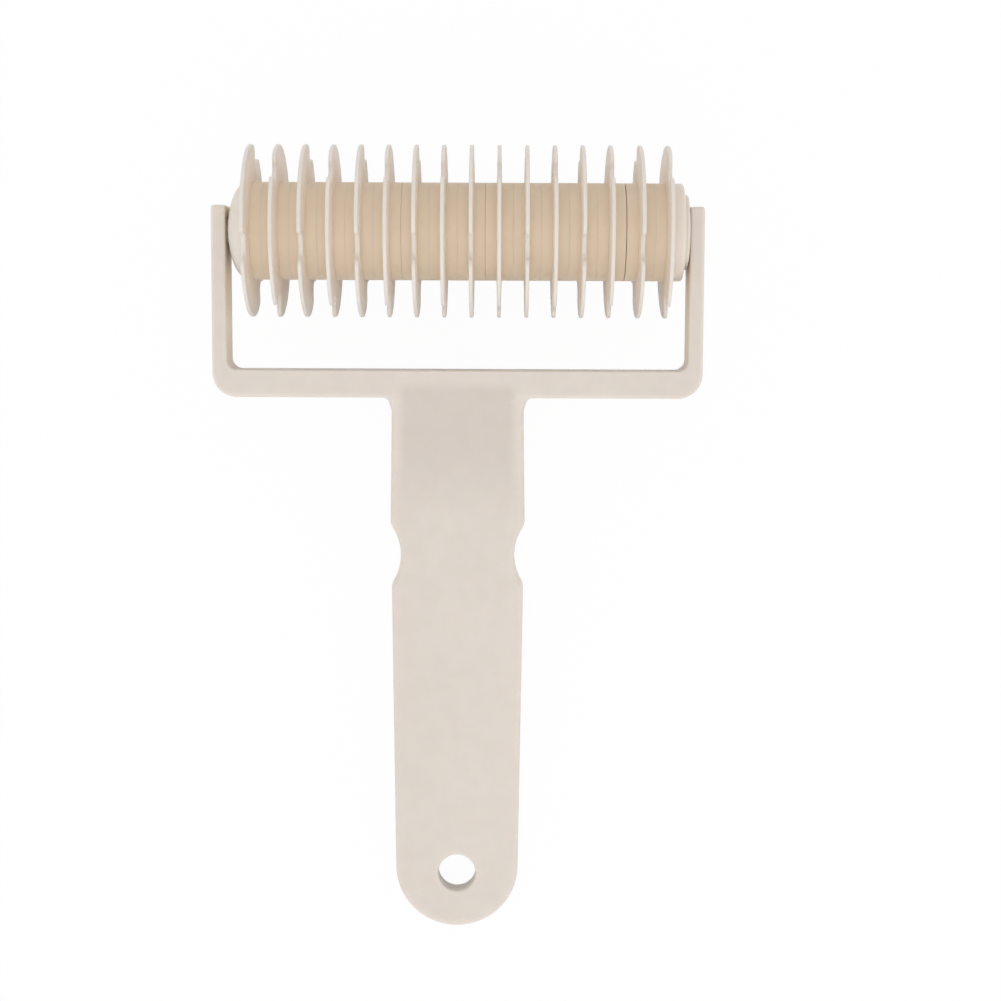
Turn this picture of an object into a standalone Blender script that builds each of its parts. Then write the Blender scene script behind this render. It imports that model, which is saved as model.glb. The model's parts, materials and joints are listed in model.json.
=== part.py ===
# Lattice roller cutter: a row of notched cutting wheels that turns in a yoke with a flat handle.
# Metres, +Z up. The tool lies on a table, on its wheel rims and the end of its handle.
# X runs along the roller, the handle points to -Y and the origin is under the tool's middle.

import math

import bmesh
import bpy
from mathutils import Matrix

MM = 0.001

# Driving sizes of the yoke
OVERALL_WIDTH = 120.0 * MM
ARM_THICKNESS = 3.5 * MM
YOKE_DEPTH = 11.8 * MM
AXIS_TO_ARM_END = 6.1 * MM
ARM_END_RADIUS = 1.5 * MM
AXIS_TO_CROSSBAR = 33.8 * MM
CROSSBAR_WIDTH = 6.8 * MM
YOKE_INNER_RADIUS = 2.6 * MM
YOKE_OUTER_RADIUS = 6.0 * MM
YOKE_EDGE = 0.5 * MM

# Driving sizes of the neck and handle
AXIS_TO_TAIL = 174.8 * MM
HANDLE_THICKNESS = 6.0 * MM
HANDLE_EDGE = 1.5 * MM
ROOT_FLARE = 0.85 * MM
ROOT_FILLET = 1.2 * MM
ROOT_TAPER_LENGTH = 3.4 * MM
NECK_WIDTH = 32.5 * MM
SHOULDER_WIDTH = 33.4 * MM
WAIST_WIDTH = 28.3 * MM
GRIP_WIDTH = 32.8 * MM
TAIL_WIDTH = 30.8 * MM
AXIS_TO_WAIST = 79.9 * MM
FINGER_NOTCH_RADIUS = 12.8 * MM
SLOPE_LENGTH = 37.0 * MM
SCOOP_IN_CROSSBAR = 3.0 * MM
SCOOP_BORDER = 2.4 * MM
SCOOP_STEP = 0.15 * MM
HANDLE_OVERLAP = 2.0 * MM
HANGING_HOLE_DIAMETER = 9.4 * MM
HANGING_HOLE_TO_TAIL = 13.9 * MM

# Driving sizes of the roller
WHEEL_COUNT = 16
WHEEL_RADIUS = 21.0 * MM
HUB_RADIUS = 11.9 * MM
RIM_THICKNESS = 0.9 * MM
ROOT_THICKNESS = 1.25 * MM
RIM_NOTCH_COUNT = 3
RIM_NOTCH_DEPTH = 4.0 * MM
RIM_NOTCH_ANGLE = math.radians(18.0)
FIRST_NOTCH_ANGLE = math.radians(-11.0)
ROD_ACROSS_CORNERS = 9.0 * MM
ROD_SIDES = 6
JOURNAL_DIAMETER = 5.8 * MM
HEAD_HEIGHT = 4.75 * MM
CAP_LENGTH = 4.4 * MM
CAP_EDGE = 0.8 * MM
BOSS_RADIUS = 9.1 * MM
BOSS_LENGTH = 1.2 * MM
BOSS_EDGE = 0.4 * MM

# Clearances
JOURNAL_CLEARANCE = 0.08 * MM
ROD_CLEARANCE = 0.15 * MM
SEAM_GAP = 0.2 * MM
END_PLAY = 0.45 * MM
ARM_GAP = 0.3 * MM
JOURNAL_RECESS = 0.3 * MM

# The row's end play has gathered in one seam, after this many wheels from the left
WHEELS_BEFORE_PLAY = 14

# How finely round shapes are divided, and how far a cutter stands out of what it cuts
WHEEL_SEGMENTS = 36
HOLE_SEGMENTS = 32
CORNER_SEGMENTS = 6
FILLET_SEGMENTS = 3
TAIL_SEGMENTS = 10
NOTCH_SEGMENTS = 8
SLOPE_SEGMENTS = 8
DOME_SEGMENTS = 6
EDGE_SEGMENTS = 2
CUT_MARGIN = 2.0 * MM
WELD_DISTANCE = 0.001 * MM
SMOOTH_ANGLE = math.radians(35.0)

# Colours and roughness of the plastics
FRAME_COLOUR = (0.735, 0.665, 0.600, 1.0)
WHEEL_COLOUR = (0.720, 0.620, 0.500, 1.0)
SPINDLE_COLOUR = (0.720, 0.640, 0.555, 1.0)
PLASTIC_ROUGHNESS = 0.42

# Places worked out from the driving sizes, as distances from the roller's axis or middle
ARM_INNER = OVERALL_WIDTH / 2 - ARM_THICKNESS
HALF_DEPTH = YOKE_DEPTH / 2
AXIS_TO_YOKE_BACK = AXIS_TO_CROSSBAR + CROSSBAR_WIDTH
SLOPE_START = AXIS_TO_YOKE_BACK - SCOOP_IN_CROSSBAR
HANDLE_START = SLOPE_START - HANDLE_OVERLAP
AXIS_TO_HANGING_HOLE = AXIS_TO_TAIL - HANGING_HOLE_TO_TAIL
HEAD_BASE = -ARM_INNER + ARM_GAP + HEAD_HEIGHT
CAP_END = ARM_INNER - ARM_GAP
CAP_BASE = CAP_END - CAP_LENGTH
FIRST_DISC = HEAD_BASE + SEAM_GAP + ROOT_THICKNESS / 2
LAST_DISC = CAP_BASE - SEAM_GAP - ROOT_THICKNESS / 2
WHEEL_PITCH = (LAST_DISC - FIRST_DISC - END_PLAY) / (WHEEL_COUNT - 1)
HUB_LENGTH = WHEEL_PITCH - SEAM_GAP

# Sets an outline drawn as (along Y, along Z) upright, so that its thickness runs along X
SIDE_VIEW = Matrix(((0, 0, 1, 0), (1, 0, 0, 0), (0, 1, 0, 0), (0, 0, 0, 1)))


def remove_scene_objects():
    for old in list(bpy.data.objects):
        bpy.data.objects.remove(old, do_unlink=True)


def new_collection(name):
    collection = bpy.data.collections.new(name)
    bpy.context.scene.collection.children.link(collection)
    return collection


def plastic(name, colour):
    material = bpy.data.materials.new(name)
    material.use_nodes = True
    shader = material.node_tree.nodes["Principled BSDF"]
    shader.inputs["Base Color"].default_value = colour
    shader.inputs["Roughness"].default_value = PLASTIC_ROUGHNESS
    shader.inputs["Metallic"].default_value = 0.0
    return material


def rest_tilt():
    # The handle slopes down until the rounded tail touches the table, as the wheels do
    reach = AXIS_TO_TAIL - HANDLE_EDGE
    drop = HANDLE_THICKNESS / 2 - HANDLE_EDGE
    height = WHEEL_RADIUS - HANDLE_EDGE
    return math.asin(height / math.hypot(reach, drop)) - math.atan2(drop, reach)


def axis_place(tilt):
    # Half the tool's length lies on either side of the origin, and the wheels touch the table
    reach = AXIS_TO_TAIL - HANDLE_EDGE
    drop = HANDLE_THICKNESS / 2 - HANDLE_EDGE
    tail = reach * math.cos(tilt) + drop * math.sin(tilt) + HANDLE_EDGE
    return (0.0, (tail - WHEEL_RADIUS) / 2, WHEEL_RADIUS)


def make_empty(name, place, tilt):
    empty = bpy.data.objects.new(name, None)
    empty.location = place
    empty.rotation_euler = (tilt, 0.0, 0.0)
    bpy.context.scene.collection.objects.link(empty)
    return empty


def add_object(name, mesh, collection, parent):
    solid = bpy.data.objects.new(name, mesh)
    collection.objects.link(solid)
    solid.parent = parent
    return solid


def as_cutter(solid):
    solid.hide_render = True
    solid.display_type = "WIRE"
    return solid


def arc(centre, radius, start, end, segments):
    points = []
    for step in range(segments + 1):
        angle = start + (end - start) * step / segments
        points.append((centre[0] + radius * math.cos(angle), centre[1] + radius * math.sin(angle)))
    return points


def mirrored(points):
    return [(-x, y) for x, y in reversed(points)]


def evaluated_mesh(source):
    # The source's shape with its modifiers applied and its loose seams welded
    bpy.context.view_layer.update()
    evaluated = source.evaluated_get(bpy.context.evaluated_depsgraph_get())
    mesh = bpy.data.meshes.new_from_object(evaluated)
    shape = bmesh.new()
    shape.from_mesh(mesh)
    bmesh.ops.remove_doubles(shape, verts=shape.verts, dist=WELD_DISTANCE)
    bmesh.ops.recalc_face_normals(shape, faces=shape.faces)
    shape.to_mesh(mesh)
    shape.free()
    bpy.data.objects.remove(source, do_unlink=True)
    return mesh


def prism(name, outline, thickness, collection, parent, turn=Matrix()):
    # A flat outline, filled on both sides and given its thickness
    curve = bpy.data.curves.new(name, "CURVE")
    curve.dimensions = "2D"
    curve.fill_mode = "BOTH"
    curve.extrude = thickness / 2
    spline = curve.splines.new("POLY")
    spline.points.add(len(outline) - 1)
    for point, (x, y) in zip(spline.points, outline):
        point.co = (x, y, 0.0, 1.0)
    spline.use_cyclic_u = True
    flat = bpy.data.objects.new(name + "_curve", curve)
    collection.objects.link(flat)
    solid = add_object(name, evaluated_mesh(flat), collection, parent)
    solid.matrix_basis = turn
    return solid


def turned(name, profile, segments, collection, parent):
    # The profile is a list of (radius, distance along X), and it turns round X
    mesh = bpy.data.meshes.new(name + "_profile")
    points = [(along, 0.0, radius) for radius, along in profile]
    mesh.from_pydata(points, [(index, index + 1) for index in range(len(points) - 1)], [])
    source = bpy.data.objects.new(name + "_profile", mesh)
    collection.objects.link(source)
    screw = source.modifiers.new("Turned", "SCREW")
    screw.axis = "X"
    screw.steps = segments
    screw.render_steps = segments
    screw.use_merge_vertices = True
    screw.merge_threshold = WELD_DISTANCE
    return add_object(name, evaluated_mesh(source), collection, parent)


def cylinder(name, radius, length, segments, collection, parent):
    # Stands along X, with its middle at the origin
    mesh = bpy.data.meshes.new(name)
    shape = bmesh.new()
    bmesh.ops.create_cone(shape, cap_ends=True, segments=segments, radius1=radius, radius2=radius,
                          depth=length, matrix=Matrix.Rotation(math.radians(90.0), 4, "Y"))
    shape.to_mesh(mesh)
    shape.free()
    return add_object(name, mesh, collection, parent)


def combine(target, operation, other):
    boolean = target.modifiers.new(operation.title() + " " + other.name, "BOOLEAN")
    boolean.operation = operation
    boolean.solver = "EXACT"
    boolean.object = other


def round_edges(target, width):
    bevel = target.modifiers.new("Rounded edges", "BEVEL")
    bevel.width = width
    bevel.segments = EDGE_SEGMENTS
    bevel.limit_method = "ANGLE"
    bevel.angle_limit = SMOOTH_ANGLE
    bevel.use_clamp_overlap = False


def finish(mesh, material):
    mesh.materials.append(material)
    mesh.shade_smooth()
    mesh.set_sharp_from_angle(angle=SMOOTH_ANGLE)


def yoke_outline():
    # The yoke's U seen from above, from the middle of the crossbar's inner side
    outer = OVERALL_WIDTH / 2
    arm_end = AXIS_TO_ARM_END + CUT_MARGIN
    inner_centre = (ARM_INNER - YOKE_INNER_RADIUS, YOKE_INNER_RADIUS - AXIS_TO_CROSSBAR)
    outer_centre = (outer - YOKE_OUTER_RADIUS, YOKE_OUTER_RADIUS - AXIS_TO_YOKE_BACK)
    right = arc(inner_centre, YOKE_INNER_RADIUS, math.radians(-90.0), 0.0, CORNER_SEGMENTS)
    right += [(ARM_INNER, arm_end), (outer, arm_end)]
    right += arc(outer_centre, YOKE_OUTER_RADIUS, 0.0, math.radians(-90.0), CORNER_SEGMENTS)
    return right + mirrored(right)


def yoke_side():
    # The yoke seen from its side: its arms end square, with round corners, past the roller's axis
    corner = (AXIS_TO_ARM_END - ARM_END_RADIUS, HALF_DEPTH - ARM_END_RADIUS)
    upper = arc(corner, ARM_END_RADIUS, 0.0, math.radians(90.0), CORNER_SEGMENTS)
    upper += [(-AXIS_TO_YOKE_BACK - CUT_MARGIN, HALF_DEPTH)]
    return upper + [(y, -z) for y, z in reversed(upper)]


def scoop_side(side):
    # Clears the crossbar's face where the neck's hollow runs into it
    floor = side * HANDLE_THICKNESS / 2
    outside = side * (HALF_DEPTH + CUT_MARGIN)
    back = -AXIS_TO_YOKE_BACK - CUT_MARGIN
    return [(-SLOPE_START, floor), (-SLOPE_START, outside), (back, outside), (back, floor)]


def finger_notch():
    # The right side's notch, from the shoulder past the waist to the grip
    centre = (WAIST_WIDTH / 2 + FINGER_NOTCH_RADIUS, -AXIS_TO_WAIST)
    above = math.acos((centre[0] - SHOULDER_WIDTH / 2) / FINGER_NOTCH_RADIUS)
    below = math.acos((centre[0] - GRIP_WIDTH / 2) / FINGER_NOTCH_RADIUS)
    return arc(centre, FINGER_NOTCH_RADIUS, math.pi - above, math.pi + below, NOTCH_SEGMENTS)


def handle_outline():
    # The neck and handle seen from above, from inside the crossbar to the round tail
    root = NECK_WIDTH / 2 + ROOT_FLARE
    root_centre = (root + ROOT_FILLET, -AXIS_TO_YOKE_BACK - ROOT_FILLET)
    tail_centre = (0.0, TAIL_WIDTH / 2 - AXIS_TO_TAIL)
    right = [(root + ROOT_FILLET, -HANDLE_START)]
    right += arc(root_centre, ROOT_FILLET, math.radians(90.0), math.radians(180.0), FILLET_SEGMENTS)
    right += [(NECK_WIDTH / 2, -AXIS_TO_YOKE_BACK - ROOT_TAPER_LENGTH)]
    right += finger_notch()
    right += arc(tail_centre, TAIL_WIDTH / 2, 0.0, math.radians(-90.0), TAIL_SEGMENTS)
    return right[:-1] + [(0.0, -AXIS_TO_TAIL)] + mirrored(right[:-1])


def handle_side():
    # The neck and handle seen from the side: both faces sink in a hollow curve to the flat handle
    flat = HANDLE_THICKNESS / 2
    rise = HALF_DEPTH - SCOOP_STEP - flat
    front = [(CUT_MARGIN - HANDLE_START, flat + rise)]
    for step in range(SLOPE_SEGMENTS + 1):
        share = step / SLOPE_SEGMENTS
        front.append((-SLOPE_START - share * SLOPE_LENGTH, flat + rise * (1.0 - share) ** 2))
    front.append((-AXIS_TO_TAIL - CUT_MARGIN, flat))
    return front + [(y, -z) for y, z in reversed(front)]


def make_handle(cutters, axis):
    handle = prism("neck_and_handle", handle_outline(), YOKE_DEPTH + 2 * CUT_MARGIN, cutters, axis)
    side = prism("handle_side", handle_side(), OVERALL_WIDTH, cutters, axis, SIDE_VIEW)
    combine(handle, "INTERSECT", as_cutter(side))
    round_edges(handle, HANDLE_EDGE)
    return as_cutter(handle)


def make_frame(parts, cutters, axis, material):
    # The yoke, neck and handle are one moulding
    through_width = OVERALL_WIDTH + 2 * CUT_MARGIN
    frame = prism("frame", yoke_outline(), YOKE_DEPTH + 2 * CUT_MARGIN, parts, axis)
    side = prism("yoke_side", yoke_side(), through_width, cutters, axis, SIDE_VIEW)
    combine(frame, "INTERSECT", as_cutter(side))
    round_edges(frame, YOKE_EDGE)

    for name, side in (("front_scoop", 1.0), ("back_scoop", -1.0)):
        width = NECK_WIDTH - 2 * SCOOP_BORDER
        scoop = prism(name, scoop_side(side), width, cutters, axis, SIDE_VIEW)
        combine(frame, "DIFFERENCE", as_cutter(scoop))
    combine(frame, "UNION", make_handle(cutters, axis))

    journal_radius = JOURNAL_DIAMETER / 2 + JOURNAL_CLEARANCE
    bore = cylinder("journal_bore", journal_radius, through_width, HOLE_SEGMENTS, cutters, axis)
    combine(frame, "DIFFERENCE", as_cutter(bore))
    hole = cylinder("hanging_hole", HANGING_HOLE_DIAMETER / 2, HANDLE_THICKNESS + 2 * CUT_MARGIN,
                    HOLE_SEGMENTS, cutters, axis)
    hole.location = (0.0, -AXIS_TO_HANGING_HOLE, 0.0)
    hole.rotation_euler = (0.0, math.radians(90.0), 0.0)
    combine(frame, "DIFFERENCE", as_cutter(hole))
    finish(frame.data, material)


def wheel_side(hub_end):
    # Half of a wheel's profile, from the disc's rim to the end of its hub
    return [(WHEEL_RADIUS, RIM_THICKNESS / 2), (HUB_RADIUS, ROOT_THICKNESS / 2), (HUB_RADIUS, hub_end),
            (0.0, hub_end)]


def wheel_profile(left_hub_end, right_hub_end):
    # From the hub's left end over the disc, thin at its rim, to the hub's right end
    left = [(radius, -along) for radius, along in reversed(wheel_side(left_hub_end))]
    return left + wheel_side(right_hub_end)


def rim_notch(name, angle, cutters, axis):
    # A wedge with its sides on the disc's radii and a flat floor
    floor = WHEEL_RADIUS - RIM_NOTCH_DEPTH
    outside = WHEEL_RADIUS + CUT_MARGIN
    slope = math.tan(RIM_NOTCH_ANGLE / 2)
    outline = [(floor, -floor * slope), (outside, -outside * slope), (outside, outside * slope),
               (floor, floor * slope)]
    turn = Matrix.Rotation(angle, 4, "X") @ SIDE_VIEW
    return as_cutter(prism(name, outline, HUB_LENGTH, cutters, axis, turn))


def make_wheel_mesh(profile, parts, cutters, axis, material):
    # Disc and hub are one moulding
    wheel = turned("cutter_wheel", profile, WHEEL_SEGMENTS, parts, axis)
    for index in range(RIM_NOTCH_COUNT):
        angle = FIRST_NOTCH_ANGLE + math.tau * index / RIM_NOTCH_COUNT
        combine(wheel, "DIFFERENCE", rim_notch("rim_notch_%d" % (index + 1), angle, cutters, axis))
    bore_radius = ROD_ACROSS_CORNERS / 2 + ROD_CLEARANCE
    bore = cylinder("rod_bore", bore_radius, 2 * HUB_LENGTH, ROD_SIDES, cutters, axis)
    combine(wheel, "DIFFERENCE", as_cutter(bore))
    mesh = evaluated_mesh(wheel)
    mesh.name = "cutter_wheel"
    finish(mesh, material)
    return mesh


def make_wheels(parts, cutters, axis, material):
    # Neighbours sit one side of the rod apart, so that their notches don't line up. The spindle's
    # head bears on the first disc and the end cap on the last, so those have no hub outside
    face = ROOT_THICKNESS / 2
    hub_end = HUB_LENGTH / 2
    profiles = [wheel_profile(face, hub_end), wheel_profile(hub_end, hub_end), wheel_profile(hub_end, face)]
    first, middle, last = [make_wheel_mesh(profile, parts, cutters, axis, material) for profile in profiles]
    meshes = [first] + [middle] * (WHEEL_COUNT - 2) + [last]
    for index, mesh in enumerate(meshes):
        along = FIRST_DISC + index * WHEEL_PITCH
        if index >= WHEELS_BEFORE_PLAY:
            along += END_PLAY
        wheel = add_object("cutter_wheel_%02d" % (index + 1), mesh, parts, axis)
        wheel.location = (along, 0.0, 0.0)
        wheel.rotation_euler = (math.tau / ROD_SIDES * (index % 2), 0.0, 0.0)


def domed_head():
    # Part of an ellipse, from the left journal down to the head's rim at its base
    journal = JOURNAL_DIAMETER / 2
    top = math.acos(journal / HUB_RADIUS)
    points = []
    for step in range(DOME_SEGMENTS + 1):
        angle = top * (1.0 - step / DOME_SEGMENTS)
        height = HEAD_HEIGHT * math.sin(angle) / math.sin(top)
        points.append((HUB_RADIUS * math.cos(angle), HEAD_BASE - height))
    return points


def round_corner(radius, end, edge):
    # A turned piece's rounded edge, from its side over to its right end
    return arc((radius - edge, end - edge), edge, 0.0, math.radians(90.0), FILLET_SEGMENTS)


def make_spindle(parts, cutters, axis, material):
    # A domed head on the left, a six-sided rod through the wheels and a journal at each end
    journal = JOURNAL_DIAMETER / 2
    tip = OVERALL_WIDTH / 2 - JOURNAL_RECESS
    profile = [(0.0, -tip), (journal, -tip)] + domed_head()
    profile += [(journal, HEAD_BASE), (journal, tip), (0.0, tip)]
    spindle = turned("spindle", profile, HOLE_SEGMENTS, parts, axis)
    rod_start = HEAD_BASE - HEAD_HEIGHT / 2
    rod_end = CAP_BASE - SEAM_GAP
    rod = cylinder("rod", ROD_ACROSS_CORNERS / 2, rod_end - rod_start, ROD_SIDES, cutters, axis)
    rod.location = ((rod_start + rod_end) / 2, 0.0, 0.0)
    combine(spindle, "UNION", as_cutter(rod))
    finish(spindle.data, material)


def make_end_cap(parts, axis, material):
    # Pressed on the spindle's right journal: as wide as the hubs, with a smaller boss on its outer side
    bore = JOURNAL_DIAMETER / 2 + JOURNAL_CLEARANCE
    boss_base = CAP_END - BOSS_LENGTH
    profile = [(bore, CAP_BASE), (HUB_RADIUS, CAP_BASE)]
    profile += round_corner(HUB_RADIUS, boss_base, CAP_EDGE) + [(BOSS_RADIUS, boss_base)]
    profile += round_corner(BOSS_RADIUS, CAP_END, BOSS_EDGE) + [(bore, CAP_END), (bore, CAP_BASE)]
    cap = turned("end_cap", profile, HOLE_SEGMENTS, parts, axis)
    finish(cap.data, material)


def main():
    remove_scene_objects()
    parts = new_collection("lattice_roller_cutter")
    cutters = new_collection("cutters")
    tilt = rest_tilt()
    place = axis_place(tilt)
    frame_axis = make_empty("frame_axis", place, tilt)
    roller_axis = make_empty("roller_axis", place, 0.0)
    spindle_plastic = plastic("spindle_plastic", SPINDLE_COLOUR)

    make_frame(parts, cutters, frame_axis, plastic("frame_plastic", FRAME_COLOUR))
    make_wheels(parts, cutters, roller_axis, plastic("wheel_plastic", WHEEL_COLOUR))
    make_spindle(parts, cutters, roller_axis, spindle_plastic)
    make_end_cap(parts, roller_axis, spindle_plastic)


main()
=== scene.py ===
# A lattice roller cutter in pale moulded plastic, lying on white and seen from straight above.
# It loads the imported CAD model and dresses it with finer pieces, materials, light and a camera.
# Metres, +Z up. X runs along the roller, the handle points to -Y and the table is at Z = 0.

import json
import math

import bmesh
import bpy
import numpy as np
from mathutils import Matrix, Vector

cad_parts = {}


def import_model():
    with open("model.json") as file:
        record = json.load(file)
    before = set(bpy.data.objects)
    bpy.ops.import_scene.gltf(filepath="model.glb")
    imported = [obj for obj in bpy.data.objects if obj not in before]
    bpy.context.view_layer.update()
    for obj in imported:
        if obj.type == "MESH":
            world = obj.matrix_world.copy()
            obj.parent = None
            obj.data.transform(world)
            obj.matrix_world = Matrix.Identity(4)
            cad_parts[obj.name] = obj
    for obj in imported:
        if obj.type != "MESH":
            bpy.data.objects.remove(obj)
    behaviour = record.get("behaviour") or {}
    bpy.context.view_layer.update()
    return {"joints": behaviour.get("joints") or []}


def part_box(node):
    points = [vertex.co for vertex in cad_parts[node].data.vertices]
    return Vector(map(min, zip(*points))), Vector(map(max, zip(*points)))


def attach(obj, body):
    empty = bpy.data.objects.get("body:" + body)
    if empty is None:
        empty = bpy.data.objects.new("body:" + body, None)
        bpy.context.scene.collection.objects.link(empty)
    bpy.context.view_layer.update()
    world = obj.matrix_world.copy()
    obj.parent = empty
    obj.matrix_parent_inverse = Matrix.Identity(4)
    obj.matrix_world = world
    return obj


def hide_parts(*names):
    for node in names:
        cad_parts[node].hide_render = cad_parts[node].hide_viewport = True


MM = 0.001

# Sizes of the yoke, as in the CAD model
OVERALL_WIDTH = 120.0 * MM
ARM_THICKNESS = 3.5 * MM
YOKE_DEPTH = 11.8 * MM
AXIS_TO_ARM_END = 6.1 * MM
ARM_END_RADIUS = 1.5 * MM
AXIS_TO_CROSSBAR = 33.8 * MM
CROSSBAR_WIDTH = 6.8 * MM
YOKE_INNER_RADIUS = 2.6 * MM
YOKE_OUTER_RADIUS = 6.0 * MM
YOKE_EDGE = 0.5 * MM

# Sizes of the neck and handle, as in the CAD model
AXIS_TO_TAIL = 174.8 * MM
HANDLE_THICKNESS = 6.0 * MM
HANDLE_EDGE = 1.5 * MM
ROOT_FLARE = 0.85 * MM
ROOT_FILLET = 1.2 * MM
ROOT_TAPER_LENGTH = 3.4 * MM
NECK_WIDTH = 32.5 * MM
SHOULDER_WIDTH = 33.4 * MM
WAIST_WIDTH = 28.3 * MM
GRIP_WIDTH = 32.8 * MM
TAIL_WIDTH = 30.8 * MM
AXIS_TO_WAIST = 79.9 * MM
FINGER_NOTCH_RADIUS = 12.8 * MM
SLOPE_LENGTH = 37.0 * MM
SCOOP_IN_CROSSBAR = 3.0 * MM
SCOOP_BORDER = 2.4 * MM
HANGING_HOLE_DIAMETER = 9.4 * MM
HANGING_HOLE_TO_TAIL = 13.9 * MM

# Sizes of the roller, as in the CAD model
WHEEL_COUNT = 16
WHEEL_RADIUS = 21.0 * MM
HUB_RADIUS = 11.9 * MM
RIM_THICKNESS = 0.9 * MM
ROOT_THICKNESS = 1.25 * MM
RIM_NOTCH_COUNT = 3
RIM_NOTCH_DEPTH = 4.0 * MM
RIM_NOTCH_ANGLE = math.radians(18.0)
FIRST_NOTCH_ANGLE = math.radians(-11.0)
ROD_ACROSS_CORNERS = 9.0 * MM
ROD_SIDES = 6
ROD_CLEARANCE = 0.15 * MM
JOURNAL_DIAMETER = 5.8 * MM
JOURNAL_CLEARANCE = 0.08 * MM
ARM_GAP = 0.3 * MM
CAP_EDGE = 0.8 * MM
BOSS_RADIUS = 9.1 * MM
BOSS_LENGTH = 1.2 * MM
BOSS_EDGE = 0.4 * MM

# Soft edges that the CAD model leaves out
SHOULDER_ROUNDING = 0.6 * MM
SCOOP_SOFTNESS = 1.6 * MM
JOURNAL_HOLE_EDGE = 0.35 * MM
HANGING_HOLE_EDGE = 0.5 * MM
RIM_EDGE = 0.28 * MM
NOTCH_OUTER_CORNER = 1.7 * MM
NOTCH_INNER_CORNER = 1.5 * MM
DISC_FILLET = 0.2 * MM
HUB_EDGE = 0.015 * MM
JOURNAL_EDGE = 0.3 * MM

# Seams between the hubs: pushed together, but for a few, each numbered as the wheel on its left
CLOSED_SEAM = 0.005 * MM
LOOSE_SEAM = 0.05 * MM
LOOSE_SEAMS = (6, 9)
OPEN_SEAM = 14
OPEN_SEAM_WIDTH = 0.18 * MM

# How finely the pieces are divided
FRAME_STEP = 0.5 * MM
FRAME_MARGIN = 1.5 * MM
SETTLE_ROUNDS = 4
SLOPE_PROBE = 0.01 * MM
LEAST_STEEPNESS = 0.1
RIM_STEPS = 26
NOTCH_FLOOR_STEPS = 5
NOTCH_WALL_STEPS = 3
CORNER_STEPS = 4
DISC_RINGS = 3
ROUND_STEPS = 3
SHOULDER_STEPS = 8
DOME_STEPS = 24
LATHE_SEGMENTS = 120
SMOOTH_ANGLE = math.radians(40.0)
RIGHT_ANGLE = math.radians(90.0)

# Places worked out from the sizes, as distances from the roller's axis
HALF_WIDTH = OVERALL_WIDTH / 2
ARM_INNER = HALF_WIDTH - ARM_THICKNESS
HALF_DEPTH = YOKE_DEPTH / 2
AXIS_TO_YOKE_BACK = AXIS_TO_CROSSBAR + CROSSBAR_WIDTH
ROOT_WIDTH = NECK_WIDTH + 2 * ROOT_FLARE
SLOPE_START = AXIS_TO_YOKE_BACK - SCOOP_IN_CROSSBAR
AXIS_TO_HANGING_HOLE = AXIS_TO_TAIL - HANGING_HOLE_TO_TAIL
TAIL_CENTRE = AXIS_TO_TAIL - TAIL_WIDTH / 2
NOTCH_CENTRE = WAIST_WIDTH / 2 + FINGER_NOTCH_RADIUS
NOTCH_FLOOR = WHEEL_RADIUS - RIM_NOTCH_DEPTH

# The frame's own directions: across the handle, along it and up from its faces
FRAME_ACROSS = (1.0, 0.0, 0.0)
FRAME_ALONG = (0.0, 1.0, 0.0)
FRAME_UP = (0.0, 0.0, 1.0)

# What counts of a place's X, Y and Z in its distance from the roller's axis
AWAY_FROM_AXIS = (0.0, 1.0, 1.0)

# Colours, as linear red, green and blue with full opacity
FRAME_LIGHT = (0.697, 0.634, 0.576, 1.0)
FRAME_DARK = (0.668, 0.606, 0.548, 1.0)
# Painted highlight, partly wear: the paler colour given to the convex edges
FRAME_EDGE_WEAR_AND_HIGHLIGHT = (0.750, 0.700, 0.648, 1.0)
# Painted light: the warmer colour given to the arms' inner sides
FRAME_INNER_PAINTED_GLOW = (0.810, 0.715, 0.585, 1.0)
# Painted shade: the darker tone multiplied into the neck's hollow
HOLLOW_PAINTED_SHADE = (0.895, 0.885, 0.880, 1.0)
HUB_LIGHT = (0.793, 0.673, 0.530, 1.0)
HUB_DARK = (0.763, 0.643, 0.500, 1.0)
DISC_LIGHT = (0.915, 0.825, 0.735, 1.0)
DISC_DARK = (0.885, 0.795, 0.705, 1.0)
TIP_LIGHT = (0.726, 0.681, 0.624, 1.0)
TIP_DARK = (0.696, 0.651, 0.594, 1.0)
SPINDLE_LIGHT = (0.720, 0.655, 0.592, 1.0)
SPINDLE_DARK = (0.690, 0.625, 0.557, 1.0)
SPECK_COLOUR = (0.300, 0.220, 0.140, 1.0)
WHITE = (1.0, 1.0, 1.0, 1.0)
PAPER_COLOUR = (0.90, 0.90, 0.90, 1.0)

# How the plastic's skin is made. Scales are in features per metre, details are octaves of noise, and a
# range is the stretch of values over which an effect comes in
PLASTIC_IOR = 1.49
PLASTIC_GLOSS = 0.35
FRAME_TRANSLUCENCY = 0.40
WHEEL_TRANSLUCENCY = 0.30
FRAME_SCATTER = 2.5 * MM
WHEEL_SCATTER = 1.0 * MM
SCATTER_RADIUS = (1.0, 0.78, 0.58)
MOTTLE_SCALE = 30.0
MOTTLE_DETAIL = 3.0
MOTTLE_RANGE = (0.36, 0.64)
CLOUD_SCALE = 260.0
CLOUD_DETAIL = 2.0
CLOUD_RANGE = (0.3, 0.7)
CLOUD_SHARE = 0.5
PATCH_SCALE = 70.0
PATCH_DETAIL = 3.0
PATCH_RANGE = (0.3, 0.7)
ROUGHNESS_LOW = 0.44
ROUGHNESS_HIGH = 0.56
WAVE_SCALE = 90.0
WAVE_DETAIL = 1.0
WAVE_DEPTH = 0.10 * MM
GRAIN_SCALE = 4200.0
GRAIN_DETAIL = 2.0
GRAIN_DEPTH = 0.006 * MM
RING_SCALE = 2600.0
RING_DETAIL = 1.0
RING_DEPTH = 0.010 * MM
PALE_REACH = 0.3 * MM
TIP_START = 17.0 * MM
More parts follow.
